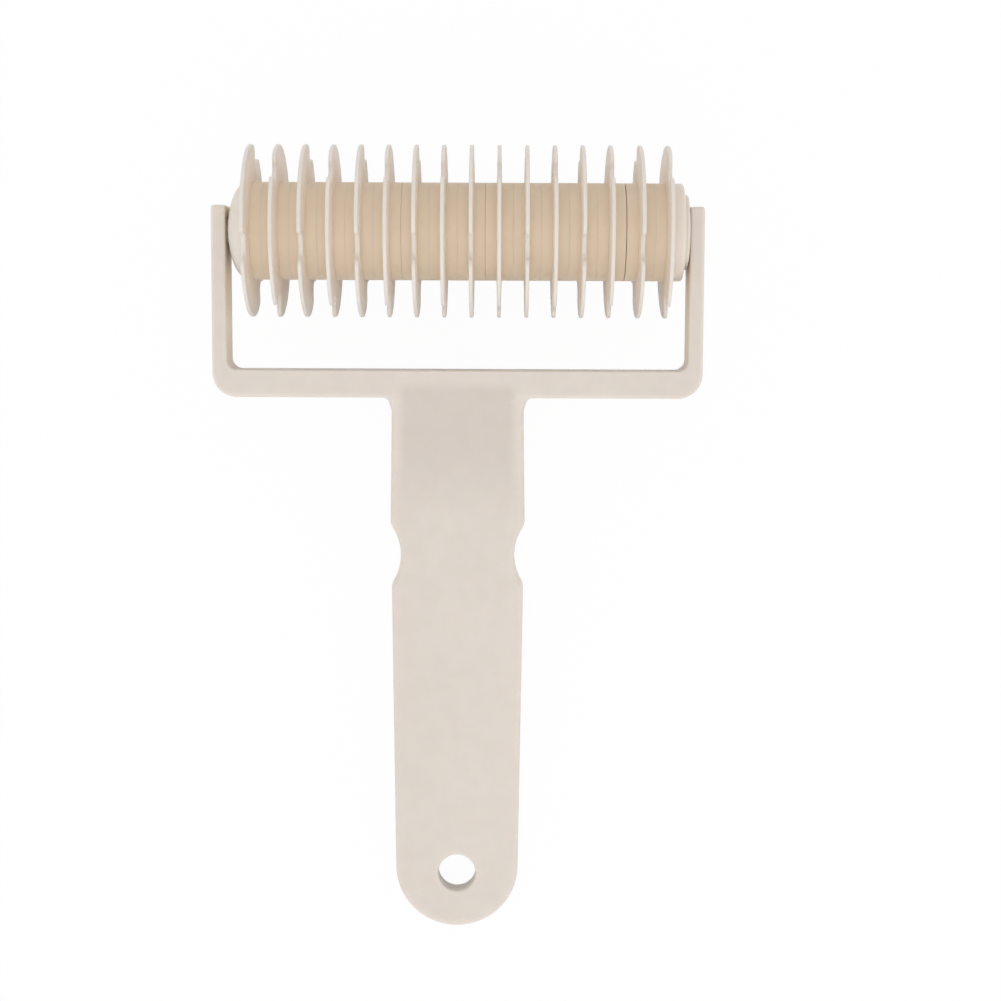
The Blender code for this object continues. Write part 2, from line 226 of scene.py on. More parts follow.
TIP_END = 21.0 * MM
ARM_GLOW_DEPTH = 0.8 * MM
SIDEWAYS_RANGE = (0.6, 0.9)
HOLLOW_FADE_START = 12.0 * MM
SPECK_SCALE = 120.0
SPECK_RADIUS = 0.12 * MM
SPECK_CORE = 0.5
SPECK_SHARE = 0.02
SPECK_STRENGTH = 0.6
EDGE_HIGHLIGHT_RANGE = (0.51, 0.60)
EDGE_HIGHLIGHT_SHARE = 0.5
SCRATCH_STRETCHES = ((60.0, 1500.0, 60.0), (1700.0, 90.0, 90.0))
SCRATCH_DETAIL = 1.0
SCRATCH_RANGE = (0.66, 0.72)
SCRATCH_DULLNESS = 0.08
SCRATCH_DEPTH = 0.004 * MM
PARTING_WIDTH = 0.09 * MM
PARTING_HEIGHT = 0.04 * MM

# The white tent, brighter low down than overhead and towards the handle than behind the roller, and
# the soft box above it, long from near to far
TENT_SIDES = 1.35
TENT_TOP = 0.65
TENT_TO_HANDLE = 0.12
PAPER_GLOW = 0.96
FLOOR_SIZE = 6.0
LAMP_PLACE = (0.0, -0.18, 0.95)
LAMP_TARGET = (0.0, 0.02, 0.01)
LAMP_SIZES = (0.45, 1.60)
LAMP_LEVEL = 0.27

# The camera looks straight down. The focal length is in pixels of the square picture
IMAGE_SIZE = 1001
SENSOR_WIDTH = 36.0
FOCAL_PIXELS = 1872.0
CAMERA_FROM_AXIS = (10.65 * MM, -66.0 * MM, 460.0 * MM)
CAMERA_ROLL = math.radians(0.25)
CLIP_START = 0.01
CLIP_END = 20.0


def smooth_step(value, low, high):
    share = np.clip((value - low) / (high - low), 0.0, 1.0)
    return share * share * (3.0 - 2.0 * share)


def rounded_both(first, second, radius):
    # Distance to what lies inside both shapes, with the edge between them rounded
    corner = np.hypot(np.maximum(first + radius, 0.0), np.maximum(second + radius, 0.0))
    return np.minimum(np.maximum(first, second), -radius) + corner


def rounded_either(first, second, radius):
    # Distance to what lies inside one shape or the other, with a fillet between them
    corner = np.hypot(np.maximum(radius - first, 0.0), np.maximum(radius - second, 0.0))
    return np.maximum(np.minimum(first, second), radius) - corner


def slab_plan(x, along, half_width, end, radius):
    # Distance to a strip about the middle that ends, with round corners, at a place along the handle
    side = np.abs(x) - half_width
    return rounded_both(side, along - end, radius)


def yoke_plan(x, along):
    # Distance to the arms and the crossbar seen from above
    outer = slab_plan(x, along, HALF_WIDTH, AXIS_TO_YOKE_BACK, YOKE_OUTER_RADIUS)
    inner = slab_plan(x, along, ARM_INNER, AXIS_TO_CROSSBAR, YOKE_INNER_RADIUS)
    return np.maximum(outer, -inner)


def notch_reach(width):
    # How far from the waist the finger notch comes out at this width
    return math.sqrt(FINGER_NOTCH_RADIUS ** 2 - (NOTCH_CENTRE - width / 2) ** 2)


def handle_plan(x, along):
    # Distance to the neck and handle seen from above
    stations = (
        (SLOPE_START, ROOT_WIDTH),
        (AXIS_TO_YOKE_BACK, ROOT_WIDTH),
        (AXIS_TO_YOKE_BACK + ROOT_TAPER_LENGTH, NECK_WIDTH),
        (AXIS_TO_WAIST - notch_reach(SHOULDER_WIDTH), SHOULDER_WIDTH),
        (AXIS_TO_WAIST + notch_reach(GRIP_WIDTH), GRIP_WIDTH),
        (TAIL_CENTRE, TAIL_WIDTH),
    )
    places = [place for place, width in stations]
    half_widths = [width / 2 for place, width in stations]
    sides = np.abs(x) - np.interp(along, places, half_widths)
    tail = np.hypot(x, along - TAIL_CENTRE) - TAIL_WIDTH / 2
    outline = np.where(along > TAIL_CENTRE, tail, sides)
    notch = FINGER_NOTCH_RADIUS - np.hypot(np.abs(x) - NOTCH_CENTRE, along - AXIS_TO_WAIST)
    outline = rounded_both(outline, notch, SHOULDER_ROUNDING)
    return np.maximum(outline, SLOPE_START - along)


def half_thickness(x, along):
    # Full in the yoke; along the neck both faces sink in a hollow curve to the flat handle
    share = np.clip((along - SLOPE_START) / SLOPE_LENGTH, 0.0, 1.0)
    sunk = (HALF_DEPTH - HANDLE_THICKNESS / 2) * (1.0 - (1.0 - share) ** 2)
    scoop_side = NECK_WIDTH / 2 - SCOOP_BORDER
    in_scoop = 1.0 - smooth_step(np.abs(x), scoop_side - SCOOP_SOFTNESS, scoop_side + SCOOP_SOFTNESS)
    in_neck = 1.0 - smooth_step(np.abs(x), ROOT_WIDTH / 2, ROOT_WIDTH / 2 + SCOOP_SOFTNESS)
    past_bar = smooth_step(along, AXIS_TO_YOKE_BACK - SCOOP_SOFTNESS, AXIS_TO_YOKE_BACK + SCOOP_SOFTNESS)
    return HALF_DEPTH - sunk * np.maximum(in_scoop, past_bar * in_neck)


def frame_distance(x, along, up):
    # Distance to the frame, below zero inside it. All three are measured from the roller's axis
    plan = rounded_either(yoke_plan(x, along), handle_plan(x, along), ROOT_FILLET)
    faces = np.abs(up) - half_thickness(x, along)
    sides = rounded_both(faces, -along - AXIS_TO_ARM_END, ARM_END_RADIUS)
    to_handle = smooth_step(along, SLOPE_START, AXIS_TO_YOKE_BACK + ROOT_TAPER_LENGTH)
    edge = YOKE_EDGE + (HANDLE_EDGE - YOKE_EDGE) * to_handle
    body = rounded_both(plan, sides, edge)
    journal_hole = JOURNAL_DIAMETER / 2 + JOURNAL_CLEARANCE - np.hypot(along, up)
    hanging_hole = HANGING_HOLE_DIAMETER / 2 - np.hypot(x, along - AXIS_TO_HANGING_HOLE)
    body = rounded_both(body, journal_hole, JOURNAL_HOLE_EDGE)
    return rounded_both(body, hanging_hole, HANGING_HOLE_EDGE)


def slope_of(distance, points):
    # The direction in which the distance grows, found by a small step each way
    slopes = []
    for axis in range(3):
        step = np.zeros(3)
        step[axis] = SLOPE_PROBE
        ahead = distance(*(points + step).T)
        behind = distance(*(points - step).T)
        slopes.append((ahead - behind) / (2 * SLOPE_PROBE))
    return np.stack(slopes, axis=1)


def settled(distance, points):
    # Moves points that lie near the surface onto it
    for _ in range(SETTLE_ROUNDS):
        slope = slope_of(distance, points)
        steepness = np.maximum((slope ** 2).sum(axis=1), LEAST_STEEPNESS)
        points = points - slope * (distance(*points.T) / steepness)[:, None]
    return points


def crossing_points(values, cells):
    # For each cell of the grid, the mean of the places where its edges cross the surface
    total = np.zeros((len(cells), 3))
    count = np.zeros(len(cells))
    corners = [np.array((i, j, k)) for i in (0, 1) for j in (0, 1) for k in (0, 1)]
    pairs = [(a, b) for a in corners for b in corners if (b - a).sum() == 1 and (b - a).min() == 0]
    for start, end in pairs:
        first = values[tuple((cells + start).T)]
        second = values[tuple((cells + end).T)]
        crossed = (first < 0.0) != (second < 0.0)
        share = np.where(crossed, first / np.where(crossed, first - second, 1.0), 0.0)
        place = start + share[:, None] * (end - start)
        total += np.where(crossed[:, None], place, 0.0)
        count += crossed
    return cells + total / count[:, None]


def crossing_faces(inside, numbers):
    # One four-sided face for each edge of the grid that crosses the surface
    faces = []
    for axis in range(3):
        order = [(axis + turn) % 3 for turn in range(3)]
        along = np.transpose(inside, order)
        cells = np.transpose(numbers, order)
        crossed = along[:-1] != along[1:]
        i, j, k = np.nonzero(crossed[:, 1:-1, 1:-1])
        j = j + 1
        k = k + 1
        around = (cells[i, j - 1, k - 1], cells[i, j, k - 1], cells[i, j, k], cells[i, j - 1, k])
        ring = np.stack(around, axis=1)
        outward = along[i, j, k]
        faces.append(ring[outward])
        faces.append(ring[~outward][:, ::-1])
    return np.concatenate(faces)


def mesh_of_distance(name, distance, low, high, step):
    # A smooth mesh where the distance is zero, from a grid of cells with one point in each
    axes = [np.arange(start, end + step, step) for start, end in zip(low, high)]
    values = distance(*np.meshgrid(*axes, indexing="ij", sparse=True))
    inside = values < 0.0
    around = np.zeros([size - 1 for size in inside.shape], dtype=np.uint8)
    for i in (0, 1):
        for j in (0, 1):
            for k in (0, 1):
                around += inside[i:inside.shape[0] - 1 + i, j:inside.shape[1] - 1 + j,
                                 k:inside.shape[2] - 1 + k]
    cells = np.argwhere((around > 0) & (around < 8))
    numbers = np.full(around.shape, -1, dtype=np.int64)
    numbers[tuple(cells.T)] = np.arange(len(cells))
    points = crossing_points(values, cells) * step + np.array([axis[0] for axis in axes])
    points = settled(distance, points)
    mesh = bpy.data.meshes.new(name)
    mesh.from_pydata(points.tolist(), [], crossing_faces(inside, numbers).tolist())
    return mesh, slope_of(distance, points)


def add_object(name, data):
    made = bpy.data.objects.new(name, data)
    bpy.context.scene.collection.objects.link(made)
    return made


def add_piece(name, mesh, material, body, slot, *nodes):
    mesh.materials.append(material)
    piece = add_object(name, mesh)
    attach(piece, body)
    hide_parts(*nodes)


def frame_place(axis):
    # From the frame's own directions, along the handle and up from its faces, to the world.
    # The tail's rounded edge touches the table
    reach = AXIS_TO_TAIL - HANDLE_EDGE
    drop = HANDLE_THICKNESS / 2 - HANDLE_EDGE
    tilt = math.asin((axis.z - HANDLE_EDGE) / math.hypot(reach, drop)) - math.atan2(drop, reach)
    flip = Matrix.Diagonal((1.0, -1.0, 1.0, 1.0))
    return Matrix.Translation(axis) @ Matrix.Rotation(tilt, 4, "X") @ flip


def make_frame_piece(axis, material):
    low = (-HALF_WIDTH - FRAME_MARGIN, -HALF_DEPTH - FRAME_MARGIN, -HALF_DEPTH - FRAME_MARGIN)
    high = (HALF_WIDTH + FRAME_MARGIN, AXIS_TO_TAIL + FRAME_MARGIN, HALF_DEPTH + FRAME_MARGIN)
    mesh, normals = mesh_of_distance("moulded_frame", frame_distance, low, high, FRAME_STEP)
    place = frame_place(axis)
    mesh.transform(place)
    mesh.flip_normals()
    turned = normals @ np.array(place.to_3x3()).T
    turned /= np.linalg.norm(turned, axis=1)[:, None]
    mesh.shade_smooth()
    mesh.normals_split_custom_set_from_vertices(turned.tolist())
    add_piece("moulded_frame", mesh, material, "frame", "frame_plastic", "frame")


def ring_mesh(name, rings, closed):
    # Joins rings of as many points each; the ends are filled, or the last ring meets the first
    size = len(rings[0])
    points = [point for ring in rings for point in ring]
    faces = []
    for index in range(len(rings) if closed else len(rings) - 1):
        start = index * size
        after = (index + 1) % len(rings) * size
        for step in range(size):
            beside = (step + 1) % size
            faces.append((start + step, start + beside, after + beside, after + step))
    if not closed:
        faces.append(tuple(range(size)))
        faces.append(tuple(range(len(points) - size, len(points))))
    mesh = bpy.data.meshes.new(name)
    mesh.from_pydata(points, [], faces)
    shape = bmesh.new()
    shape.from_mesh(mesh)
    bmesh.ops.recalc_face_normals(shape, faces=shape.faces)
    shape.to_mesh(mesh)
    shape.free()
    mesh.shade_smooth()
    mesh.set_sharp_from_angle(angle=SMOOTH_ANGLE)
    return mesh


def corner_arc(before, corner, after, radius, steps):
    # The points of a round corner between two straight sides
    back = (before - corner).normalized()
    ahead = (after - corner).normalized()
    half = back.angle(ahead) / 2
    reach = radius / math.tan(half)
    centre = corner + (back + ahead).normalized() * (radius / math.sin(half))
    start = corner + back * reach - centre
    end = corner + ahead * reach - centre
    sweep = math.atan2(start.x * end.y - start.y * end.x, start.dot(end))
    return [centre + Matrix.Rotation(sweep * step / steps, 2) @ start for step in range(steps + 1)]


def polar(radius, angle):
    return Vector((radius * math.cos(angle), radius * math.sin(angle)))


def notch_side(centre_angle):
    # Half of a rim notch, from the middle of its floor to the rim beyond it
    wall = RIM_NOTCH_ANGLE / 2
    floor_middle = polar(NOTCH_FLOOR, 0.0)
    inner = polar(NOTCH_FLOOR / math.cos(wall), wall)
    outer = polar(WHEEL_RADIUS, wall)
    rim = polar(WHEEL_RADIUS, wall + 2 * NOTCH_OUTER_CORNER / WHEEL_RADIUS)
    inner_corner = corner_arc(floor_middle, inner, outer, NOTCH_INNER_CORNER, CORNER_STEPS)
    outer_corner = corner_arc(inner, outer, rim, NOTCH_OUTER_CORNER, CORNER_STEPS)
    points = []
    for step in range(NOTCH_FLOOR_STEPS):
        points.append(floor_middle.lerp(inner_corner[0], step / NOTCH_FLOOR_STEPS))
    points += inner_corner
    for step in range(1, NOTCH_WALL_STEPS):
        points.append(inner_corner[-1].lerp(outer_corner[0], step / NOTCH_WALL_STEPS))
    points += outer_corner
    turn = Matrix.Rotation(centre_angle, 2)
    return [turn @ point for point in points]


def wheel_outline():
    # The notched rim, once round, as points across the roller's axis
    points = []
    part = math.tau / RIM_NOTCH_COUNT
    for index in range(RIM_NOTCH_COUNT):
        middle = FIRST_NOTCH_ANGLE + index * part
        rising = notch_side(0.0)
        falling = [Vector((point.x, -point.y)) for point in reversed(rising[1:])]
        turn = Matrix.Rotation(middle, 2)
        points += [turn @ point for point in falling + rising]
        start = math.atan2(rising[-1].y, rising[-1].x)
        for step in range(1, RIM_STEPS):
            points.append(polar(WHEEL_RADIUS, middle + start + (part - 2 * start) * step / RIM_STEPS))
    return points


def outline_normals(points):
    normals = []
    for index, point in enumerate(points):
        along = points[(index + 1) % len(points)] - points[index - 1]
        normals.append(Vector((along.y, -along.x)).normalized())
    return normals


def quarter_turn(steps, first=0):
    # The angles of a rounded edge's points, up to a right angle
    return [RIGHT_ANGLE * step / steps for step in range(first, steps + 1)]


def disc_half_thickness(radius):
    share = (radius - HUB_RADIUS) / (WHEEL_RADIUS - HUB_RADIUS)
    return (ROOT_THICKNESS + (RIM_THICKNESS - ROOT_THICKNESS) * share) / 2


def disc_rings(outline, hub_angles):
    # The disc's right face, from its fillet on the hub to the middle of its rounded rim
    rings = []
    normals = outline_normals(outline)
    root = HUB_RADIUS + DISC_FILLET
    for ring in range(1, DISC_RINGS + 1):
        share = ring / DISC_RINGS
        points = []
        for point, normal, angle in zip(outline, normals, hub_angles):
            place = polar(root, angle).lerp(point - normal * RIM_EDGE, share)
            points.append((disc_half_thickness(place.length), place))
        rings.append(points)
    for turn in quarter_turn(ROUND_STEPS, 1):
        points = []
        for point, normal in zip(outline, normals):
            place = point - normal * RIM_EDGE * (1.0 - math.sin(turn))
            points.append((disc_half_thickness(point.length) - RIM_EDGE * (1.0 - math.cos(turn)), place))
        rings.append(points)
    return rings


def hub_rings(angles, end):
    # One end of the hub, from the rod's bore over the rounded end to the fillet under the disc
    bore = ROD_ACROSS_CORNERS / 2 + ROD_CLEARANCE
    rings = [[(end, polar(six_sided(bore, angle), angle)) for angle in angles]]
    for turn in quarter_turn(ROUND_STEPS):
        place = end - HUB_EDGE * (1.0 - math.cos(turn))
        radius = HUB_RADIUS - HUB_EDGE * (1.0 - math.sin(turn))
        rings.append([(place, polar(radius, angle)) for angle in angles])
    face = disc_half_thickness(HUB_RADIUS + DISC_FILLET)
    for turn in quarter_turn(ROUND_STEPS):
        radius = HUB_RADIUS + DISC_FILLET * (1.0 - math.cos(turn))
        rings.append([(face + DISC_FILLET * (1.0 - math.sin(turn)), polar(radius, angle))
                      for angle in angles])
    return rings


def six_sided(corner_radius, angle):
    # The rod's outline: how far its side lies from the axis at this angle
    side = math.tau / ROD_SIDES
    from_side = (angle % side) - side / 2
    return corner_radius * math.cos(side / 2) / math.cos(from_side)


def wheel_mesh(name, centre, axis, turn, left_end, right_end):
    outline = wheel_outline()
    size = len(outline)
    first = math.atan2(outline[0].y, outline[0].x)
    hub_angles = [first + math.tau * index / size for index in range(size)]
    disc = disc_rings(outline, hub_angles)
    left = hub_rings(hub_angles, left_end)
    right = hub_rings(hub_angles, right_end)
    rings = [[(-along, place) for along, place in ring] for ring in left + disc]
    rings += reversed(right + disc)
    spin = Matrix.Rotation(turn, 2)
    points = []
    for ring in rings:
        points.append([])
        for along, place in ring:
            turned = spin @ place
            points[-1].append((centre + along, axis.y + turned.x, axis.z + turned.y))
    return ring_mesh(name, points, True)


def seam_after(number):
    if number == OPEN_SEAM:
        return OPEN_SEAM_WIDTH
    if number in LOOSE_SEAMS:
        return LOOSE_SEAM
    return CLOSED_SEAM


def collar():
    # How far the first and last wheels, with no hub outside, reach from their discs' middles
    return disc_half_thickness(HUB_RADIUS + DISC_FILLET) + DISC_FILLET + HUB_EDGE


def first_disc():
    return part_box("cutter_wheel_01")[0].x + ROOT_THICKNESS / 2


def last_disc():
    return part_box("cutter_wheel_%02d" % WHEEL_COUNT)[1].x - ROOT_THICKNESS / 2


def make_wheels(axis, material):
    # The discs stay where the CAD model has them, and the hubs reach out until their seams are thin
    nodes = ["cutter_wheel_%02d" % (index + 1) for index in range(WHEEL_COUNT)]
    boxes = [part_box(node) for node in nodes]
    centres = [(low.x + high.x) / 2 for low, high in boxes]
    centres[0] = first_disc()
    centres[-1] = last_disc()
    left_end = centres[0] - collar()
    for index, centre in enumerate(centres):
        number = index + 1
        right_end = centre + collar()
        next_left_end = None
        if number < WHEEL_COUNT:
            seam_middle = (boxes[index][1].x + boxes[number][0].x) / 2
            right_end = seam_middle - seam_after(number) / 2
            next_left_end = seam_middle + seam_after(number) / 2
        name = "wheel_%02d" % number
        turn = math.tau / ROD_SIDES * (index % 2)
        mesh = wheel_mesh(name, centre, axis, turn, centre - left_end, right_end - centre)
        add_piece(name, mesh, material, "roller", "wheel_plastic", nodes[index])
        left_end = next_left_end


def lathe_rings(profile, axis):
    # Rings about the roller's axis; the profile is a list of (place along X, radius at an angle)
    rings = []
    for along, radius_at in profile:
        ring = []
        for step in range(LATHE_SEGMENTS):
            angle = math.tau * step / LATHE_SEGMENTS
            radius = radius_at(angle)
            ring.append((along, axis.y + radius * math.cos(angle), axis.z + radius * math.sin(angle)))
        rings.append(ring)
    return rings


def round_at(radius):
    return lambda angle: radius


def domed_head(base, top):
    # Part of an ellipse, from the journal at the top to the head's rim at its base
    first = math.acos(JOURNAL_DIAMETER / 2 / HUB_RADIUS)
    points = []
    for step in range(DOME_STEPS + 1):
        turn = first * (1.0 - step / DOME_STEPS)
        along = base + (top - base) * math.sin(turn) / math.sin(first)
        points.append((along, round_at(HUB_RADIUS * math.cos(turn))))
    return points


def round_corner(radius, end, edge):
    # A turned piece's rounded edge, from its side over to its right end
    points = []
    for turn in quarter_turn(SHOULDER_STEPS):
        along = end - edge * (1.0 - math.sin(turn))
        points.append((along, round_at(radius - edge * (1.0 - math.cos(turn)))))
    return points


def make_spindle(axis, material):
    # Left journal, domed head, six-sided rod and right journal
    low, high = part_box("spindle")
    journal = JOURNAL_DIAMETER / 2
    head_base = first_disc() - collar() - CLOSED_SEAM
    rod_end = last_disc() + collar() - CLOSED_SEAM
    rod = ROD_ACROSS_CORNERS / 2
    profile = [(low.x, round_at(journal - JOURNAL_EDGE)), (low.x + JOURNAL_EDGE, round_at(journal))]
    profile += domed_head(head_base, ARM_GAP - ARM_INNER)
    profile += [(head_base, lambda angle: six_sided(rod, angle)),
                (rod_end, lambda angle: six_sided(rod, angle)), (rod_end, round_at(journal)),
                (high.x - JOURNAL_EDGE, round_at(journal)), (high.x, round_at(journal - JOURNAL_EDGE))]
    mesh = ring_mesh("keyed_spindle", lathe_rings(profile, axis), False)
    add_piece("keyed_spindle", mesh, material, "roller", "spindle_plastic", "spindle")


def make_end_cap(axis, material):
    # As wide as the hubs, with a smaller boss towards the arm
    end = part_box("end_cap")[1].x
    base = last_disc() + collar() + CLOSED_SEAM
    bore = JOURNAL_DIAMETER / 2 + JOURNAL_CLEARANCE
    profile = [(base, round_at(bore)), (base, round_at(HUB_RADIUS - HUB_EDGE)),
               (base + HUB_EDGE, round_at(HUB_RADIUS))]
    profile += round_corner(HUB_RADIUS, end - BOSS_LENGTH, CAP_EDGE)
    profile += [(end - BOSS_LENGTH, round_at(BOSS_RADIUS))]
    profile += round_corner(BOSS_RADIUS, end, BOSS_EDGE) + [(end, round_at(bore))]
    mesh = ring_mesh("stepped_end_cap", lathe_rings(profile, axis), True)
    add_piece("stepped_end_cap", mesh, material, "roller", "spindle_plastic", "end_cap")


def add_node(tree, kind, inputs=(), **settings):
    # Makes a shader node; an input is given a number, a colour or another node's output
    made = tree.nodes.new(kind)
    for name, value in settings.items():
        setattr(made, name, value)
    for name, value in dict(inputs).items():
        if isinstance(value, bpy.types.NodeSocket):
            tree.links.new(value, made.inputs[name])
        else:
            made.inputs[name].default_value = value
    return made


def noise(tree, place, scale, detail):
    made = add_node(tree, "ShaderNodeTexNoise", {"Vector": place, "Scale": scale, "Detail": detail})
    return made.outputs["Fac"]


def stretched(tree, place, scale):
    made = add_node(tree, "ShaderNodeMapping", {"Vector": place, "Scale": scale})
    return made.outputs["Vector"]


def remap(tree, value, low, high, to_low=0.0, to_high=1.0):
    limits = {"Value": value, "From Min": low, "From Max": high, "To Min": to_low, "To Max": to_high}
    return add_node(tree, "ShaderNodeMapRange", limits, interpolation_type="SMOOTHSTEP").outputs["Result"]


def calculate(tree, operation, first, second=0.0):
    return add_node(tree, "ShaderNodeMath", {0: first, 1: second}, operation=operation).outputs[0]


def calculate_vector(tree, operation, first, second=(0.0, 0.0, 0.0)):
    return add_node(tree, "ShaderNodeVectorMath", {0: first, 1: second}, operation=operation).outputs


def mix_colours(tree, share, first, second, blend="MIX"):
    made = add_node(tree, "ShaderNodeMix", {0: share, 6: first, 7: second}, data_type="RGBA",
                    blend_type=blend)
    return made.outputs[2]


def object_place(tree):
    # The surface's own place, which moves with the piece
    return add_node(tree, "ShaderNodeTexCoord").outputs["Object"]


def from_axis(tree, place, axis):
    return calculate_vector(tree, "SUBTRACT", place, tuple(axis))["Vector"]


def axis_distance(tree, place, axis):
    # How far the surface lies from the roller's axis
    outward = calculate_vector(tree, "MULTIPLY", from_axis(tree, place, axis), AWAY_FROM_AXIS)["Vector"]
    return calculate_vector(tree, "LENGTH", outward)["Value"]


def mottled(tree, place, light, dark):
    # Slow and fine cloudiness of the pigment, between two close colours
    slow = remap(tree, noise(tree, place, MOTTLE_SCALE, MOTTLE_DETAIL), *MOTTLE_RANGE)
    fine = remap(tree, noise(tree, place, CLOUD_SCALE, CLOUD_DETAIL), *CLOUD_RANGE)
    both = calculate(tree, "ADD", calculate(tree, "MULTIPLY", slow, 1.0 - CLOUD_SHARE),
                     calculate(tree, "MULTIPLY", fine, CLOUD_SHARE))
    return mix_colours(tree, both, dark, light)


def with_specks(tree, place, colour):
    # A few specks of scorched plastic, each about a tenth of a millimetre across
    cells = add_node(tree, "ShaderNodeTexVoronoi", {"Vector": place, "Scale": SPECK_SCALE})
    reach = SPECK_RADIUS * SPECK_SCALE
    near = remap(tree, cells.outputs["Distance"], reach, reach * SPECK_CORE)
    chosen = add_node(tree, "ShaderNodeSeparateColor", {"Color": cells.outputs["Color"]}).outputs[0]
    rare = calculate(tree, "GREATER_THAN", chosen, 1.0 - SPECK_SHARE)
    share = calculate(tree, "MULTIPLY", calculate(tree, "MULTIPLY", near, rare), SPECK_STRENGTH)
    return mix_colours(tree, share, colour, SPECK_COLOUR)


def with_worn_and_highlit_edges(tree, colour, paler_edge):
    # Painted highlight, partly wear: the convex edges are coloured paler, for the light that the rounded
    # edges catch and a little rubbing from handling
    edge = add_node(tree, "ShaderNodeNewGeometry").outputs["Pointiness"]
    share = remap(tree, edge, *EDGE_HIGHLIGHT_RANGE, 0.0, EDGE_HIGHLIGHT_SHARE)
    return mix_colours(tree, share, colour, paler_edge)


def scratches(tree, place):
    # Thin lines along two directions, as a drawer's other tools leave them
    lines = []
    for scale in SCRATCH_STRETCHES:
        line = noise(tree, stretched(tree, place, scale), 1.0, SCRATCH_DETAIL)
        lines.append(remap(tree, line, *SCRATCH_RANGE))
    return calculate(tree, "MAXIMUM", lines[0], lines[1])


def satin(tree, place, lines):
    # Roughness of a lightly blasted mould, shinier where it is rubbed and duller in scratches
    cloud = noise(tree, place, PATCH_SCALE, PATCH_DETAIL)
    patches = remap(tree, cloud, *PATCH_RANGE, ROUGHNESS_LOW, ROUGHNESS_HIGH)
    return calculate(tree, "ADD", patches, calculate(tree, "MULTIPLY", lines, SCRATCH_DULLNESS))


def relief(tree, height, depth, below=None):
    inputs = {"Height": height, "Distance": depth, "Strength": 1.0}
    if below is not None:
        inputs["Normal"] = below
    return add_node(tree, "ShaderNodeBump", inputs).outputs["Normal"]


def skin(tree, place, lines):
    # The mould's fine grain, the slight waviness of cooled plastic and the scratches
    waves = relief(tree, noise(tree, place, WAVE_SCALE, WAVE_DETAIL), WAVE_DEPTH)
    grain = relief(tree, noise(tree, place, GRAIN_SCALE, GRAIN_DETAIL), GRAIN_DEPTH, waves)
    return relief(tree, calculate(tree, "SUBTRACT", 1.0, lines), SCRATCH_DEPTH, grain)


def plastic(name, translucency, scatter):
    # The shader, with what is the same all over the surface set on its own sockets
    material = bpy.data.materials.new(name)
    material.use_nodes = True
    shader = material.node_tree.nodes["Principled BSDF"]
    shader.inputs["Metallic"].default_value = 0.0
    shader.inputs["IOR"].default_value = PLASTIC_IOR
    shader.inputs["Specular IOR Level"].default_value = PLASTIC_GLOSS
    shader.inputs["Subsurface Weight"].default_value = translucency
    shader.inputs["Subsurface Radius"].default_value = SCATTER_RADIUS
    shader.inputs["Subsurface Scale"].default_value = scatter
    return material, material.node_tree, shader


def dress(tree, shader, colour, roughness, normal):
    tree.links.new(colour, shader.inputs["Base Color"])
    tree.links.new(roughness, shader.inputs["Roughness"])
    tree.links.new(normal, shader.inputs["Normal"])


def frame_direction(tree, place, axis, direction):
    # How far the surface lies from the roller's axis, in one of the frame's own directions
    towards = frame_place(axis).to_3x3() @ Vector(direction)
    return calculate_vector(tree, "DOT_PRODUCT", from_axis(tree, place, axis), tuple(towards))["Value"]


def either_way(tree, place, axis, direction):
    # The same, counted alike on both sides of the axis
    return calculate(tree, "ABSOLUTE", frame_direction(tree, place, axis, direction))


def with_painted_hollow_shade(tree, place, axis, colour):
    # Painted shade: the neck's hollow is coloured darker than the flat faces, most of all where it
    # starts, in place of the shade that its slope takes
    across = either_way(tree, place, axis, FRAME_ACROSS)
    along = frame_direction(tree, place, axis, FRAME_ALONG)
    side = NECK_WIDTH / 2 - SCOOP_BORDER
    inside = remap(tree, across, side + SCOOP_SOFTNESS, side - SCOOP_SOFTNESS)
    begun = remap(tree, along, SLOPE_START - SCOOP_SOFTNESS, SLOPE_START + SCOOP_SOFTNESS)
    left = remap(tree, along, SLOPE_START + SLOPE_LENGTH, SLOPE_START + HOLLOW_FADE_START)
    share = calculate(tree, "MULTIPLY", inside, calculate(tree, "MULTIPLY", begun, left))
    return mix_colours(tree, share, colour, HOLLOW_PAINTED_SHADE, "MULTIPLY")


def facing_sideways(tree):
    # How much the surface faces along the roller's axis
    normal = add_node(tree, "ShaderNodeTexCoord").outputs["Normal"]
    parts = add_node(tree, "ShaderNodeSeparateXYZ", {"Vector": normal}).outputs
    return calculate(tree, "ABSOLUTE", parts["X"])


def with_painted_arm_glow(tree, place, axis, colour):
    # Painted light: the arms' inner sides are coloured warmer, in place of the light that comes through
    # the thin arms and off the wheels
    across = either_way(tree, place, axis, FRAME_ACROSS)
    from_side = calculate(tree, "ABSOLUTE", calculate(tree, "SUBTRACT", across, ARM_INNER))
    inner = remap(tree, from_side, 2 * ARM_GLOW_DEPTH, ARM_GLOW_DEPTH)
    sideways = remap(tree, facing_sideways(tree), *SIDEWAYS_RANGE)
    return mix_colours(tree, calculate(tree, "MULTIPLY", inner, sideways), colour, FRAME_INNER_PAINTED_GLOW)


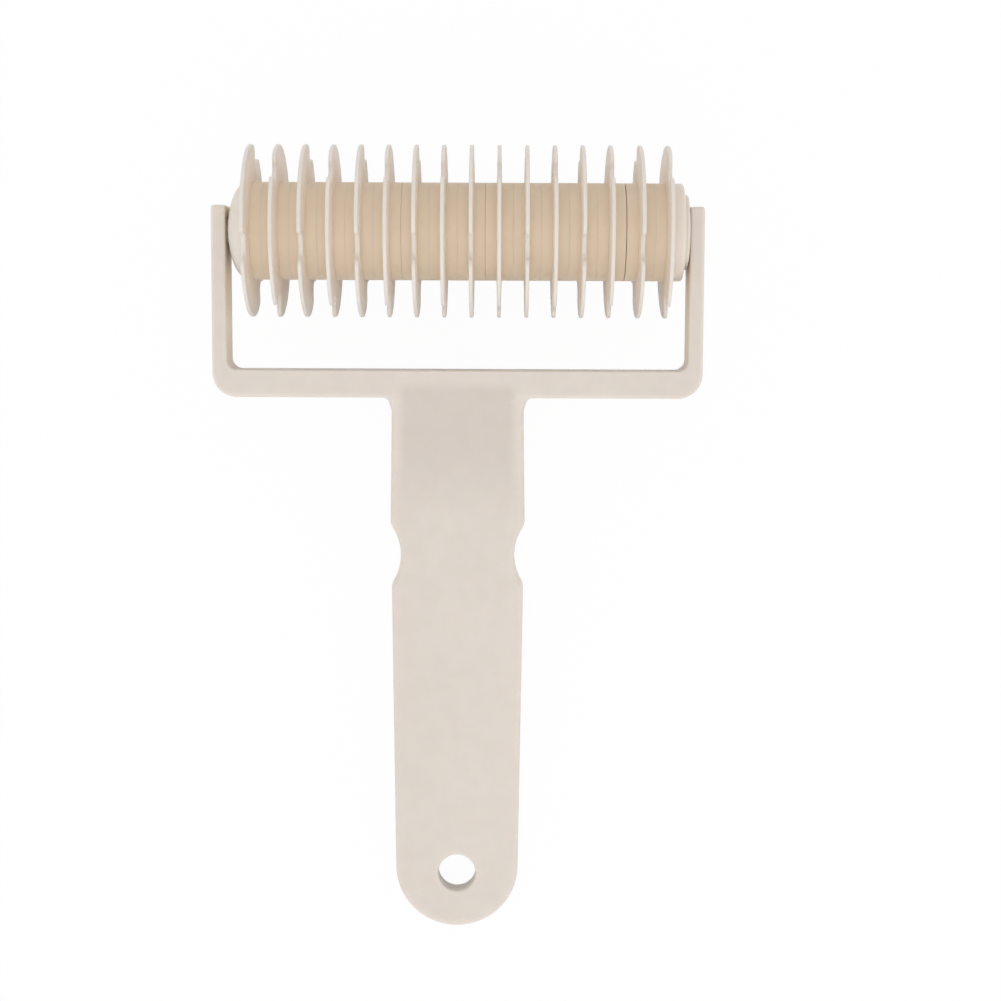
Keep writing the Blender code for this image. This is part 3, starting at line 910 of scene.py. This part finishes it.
def frame_plastic(axis):
    material, tree, shader = plastic("ivory_moulded_plastic", FRAME_TRANSLUCENCY, FRAME_SCATTER)
    place = object_place(tree)
    colour = mottled(tree, place, FRAME_LIGHT, FRAME_DARK)
    # Painted highlight, partly wear, on the convex edges
    colour = with_worn_and_highlit_edges(tree, with_specks(tree, place, colour), FRAME_EDGE_WEAR_AND_HIGHLIGHT)
    # Painted shade in the neck's hollow
    colour = with_painted_hollow_shade(tree, place, axis, colour)
    # Painted light on the arms' inner sides
    colour = with_painted_arm_glow(tree, place, axis, colour)
    lines = scratches(tree, place)
    parting = remap(tree, either_way(tree, place, axis, FRAME_UP), PARTING_WIDTH, 0.0)
    normal = relief(tree, parting, PARTING_HEIGHT, skin(tree, place, lines))
    dress(tree, shader, colour, satin(tree, place, lines), normal)
    return material


def wheel_plastic(axis):
    # Warm on the thick hubs, paler on the thin discs and greyer towards their rims and in their notches
    material, tree, shader = plastic("cream_wheel_plastic", WHEEL_TRANSLUCENCY, WHEEL_SCATTER)
    place = object_place(tree)
    distance = axis_distance(tree, place, axis)
    hub = mottled(tree, place, HUB_LIGHT, HUB_DARK)
    disc = mottled(tree, place, DISC_LIGHT, DISC_DARK)
    tip = mottled(tree, place, TIP_LIGHT, TIP_DARK)
    rim = remap(tree, facing_sideways(tree), *reversed(SIDEWAYS_RANGE))
    greyer = calculate(tree, "MAXIMUM", rim, remap(tree, distance, TIP_START, TIP_END))
    disc = mix_colours(tree, greyer, disc, tip)
    out = remap(tree, distance, HUB_RADIUS, HUB_RADIUS + PALE_REACH)
    colour = with_specks(tree, place, mix_colours(tree, out, hub, disc))
    lines = scratches(tree, place)
    inputs = {"W": distance, "Scale": RING_SCALE, "Detail": RING_DETAIL}
    rings = add_node(tree, "ShaderNodeTexNoise", inputs, noise_dimensions="1D").outputs["Fac"]
    normal = relief(tree, rings, RING_DEPTH, skin(tree, place, lines))
    dress(tree, shader, colour, satin(tree, place, lines), normal)
    return material


def spindle_plastic():
    material, tree, shader = plastic("ivory_spindle_plastic", FRAME_TRANSLUCENCY, FRAME_SCATTER)
    place = object_place(tree)
    colour = with_specks(tree, place, mottled(tree, place, SPINDLE_LIGHT, SPINDLE_DARK))
    lines = scratches(tree, place)
    dress(tree, shader, colour, satin(tree, place, lines), skin(tree, place, lines))
    return material


def seen_straight(tree):
    # One for the rays that show a background: straight, mirrored or through glass
    path = add_node(tree, "ShaderNodeLightPath").outputs
    shown = calculate(tree, "MAXIMUM", path["Is Camera Ray"], path["Is Glossy Ray"])
    return calculate(tree, "MAXIMUM", shown, path["Is Transmission Ray"])


def make_floor():
    # White paper: it keeps a part of the tool's soft shadow where the camera sees it
    half = FLOOR_SIZE / 2
    mesh = bpy.data.meshes.new("paper")
    mesh.from_pydata([(-half, -half, 0.0), (half, -half, 0.0), (half, half, 0.0), (-half, half, 0.0)],
                     [], [(0, 1, 2, 3)])
    material = bpy.data.materials.new("white_paper")
    material.use_nodes = True
    tree = material.node_tree
    tree.nodes.clear()
    paper = add_node(tree, "ShaderNodeBsdfDiffuse", {"Color": PAPER_COLOUR})
    white = add_node(tree, "ShaderNodeEmission", {"Color": WHITE, "Strength": 1.0})
    share = calculate(tree, "MULTIPLY", seen_straight(tree), PAPER_GLOW)
    mixed = add_node(tree, "ShaderNodeMixShader", {0: share, 1: paper.outputs[0], 2: white.outputs[0]})
    add_node(tree, "ShaderNodeOutputMaterial", {"Surface": mixed.outputs[0]})
    mesh.materials.append(material)
    floor = add_object("paper", mesh)


def make_world():
    world = bpy.data.worlds.new("white_tent")
    bpy.context.scene.world = world
    world.use_nodes = True
    tree = world.node_tree
    tree.nodes.clear()
    direction = add_node(tree, "ShaderNodeTexCoord").outputs["Generated"]
    parts = add_node(tree, "ShaderNodeSeparateXYZ", {"Vector": direction}).outputs
    level = add_node(tree, "ShaderNodeMapRange", {"Value": parts["Z"], "To Min": TENT_SIDES,
                                                  "To Max": TENT_TOP}).outputs["Result"]
    more = calculate(tree, "MULTIPLY", parts["Y"], TENT_TO_HANDLE)
    strength = calculate(tree, "SUBTRACT", level, more)
    dim = add_node(tree, "ShaderNodeBackground", {"Color": WHITE, "Strength": strength})
    white = add_node(tree, "ShaderNodeBackground", {"Color": WHITE, "Strength": 1.0})
    mixed = add_node(tree, "ShaderNodeMixShader",
                     {0: seen_straight(tree), 1: dim.outputs[0], 2: white.outputs[0]})
    add_node(tree, "ShaderNodeOutputWorld", {"Surface": mixed.outputs[0]})


def make_lamp():
    # The soft box. Its level is about the share of full light that it gives at its target
    data = bpy.data.lights.new("soft_box", "AREA")
    data.shape = "RECTANGLE"
    data.size, data.size_y = LAMP_SIZES
    towards = Vector(LAMP_TARGET) - Vector(LAMP_PLACE)
    data.energy = LAMP_LEVEL * math.pi ** 2 * towards.length ** 2
    lamp = add_object("soft_box", data)
    lamp.location = LAMP_PLACE
    lamp.rotation_euler = towards.to_track_quat("-Z", "Y").to_euler()


def make_camera(axis):
    data = bpy.data.cameras.new("camera")
    data.sensor_fit = "HORIZONTAL"
    data.sensor_width = SENSOR_WIDTH
    data.lens = SENSOR_WIDTH * FOCAL_PIXELS / IMAGE_SIZE
    data.clip_start = CLIP_START
    data.clip_end = CLIP_END
    camera = add_object("camera", data)
    camera.location = axis + Vector(CAMERA_FROM_AXIS)
    camera.rotation_euler.z = CAMERA_ROLL
    bpy.context.scene.camera = camera


def main():
    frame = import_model()
    axis = Vector(frame["joints"][0]["pos_m"])

    make_camera(axis)
    make_world()
    make_floor()
    make_lamp()
    bpy.context.scene.view_settings.view_transform = "Standard"

    spindle_skin = spindle_plastic()
    make_frame_piece(axis, frame_plastic(axis))
    make_wheels(axis, wheel_plastic(axis))
    make_spindle(axis, spindle_skin)
    make_end_cap(axis, spindle_skin)


main()
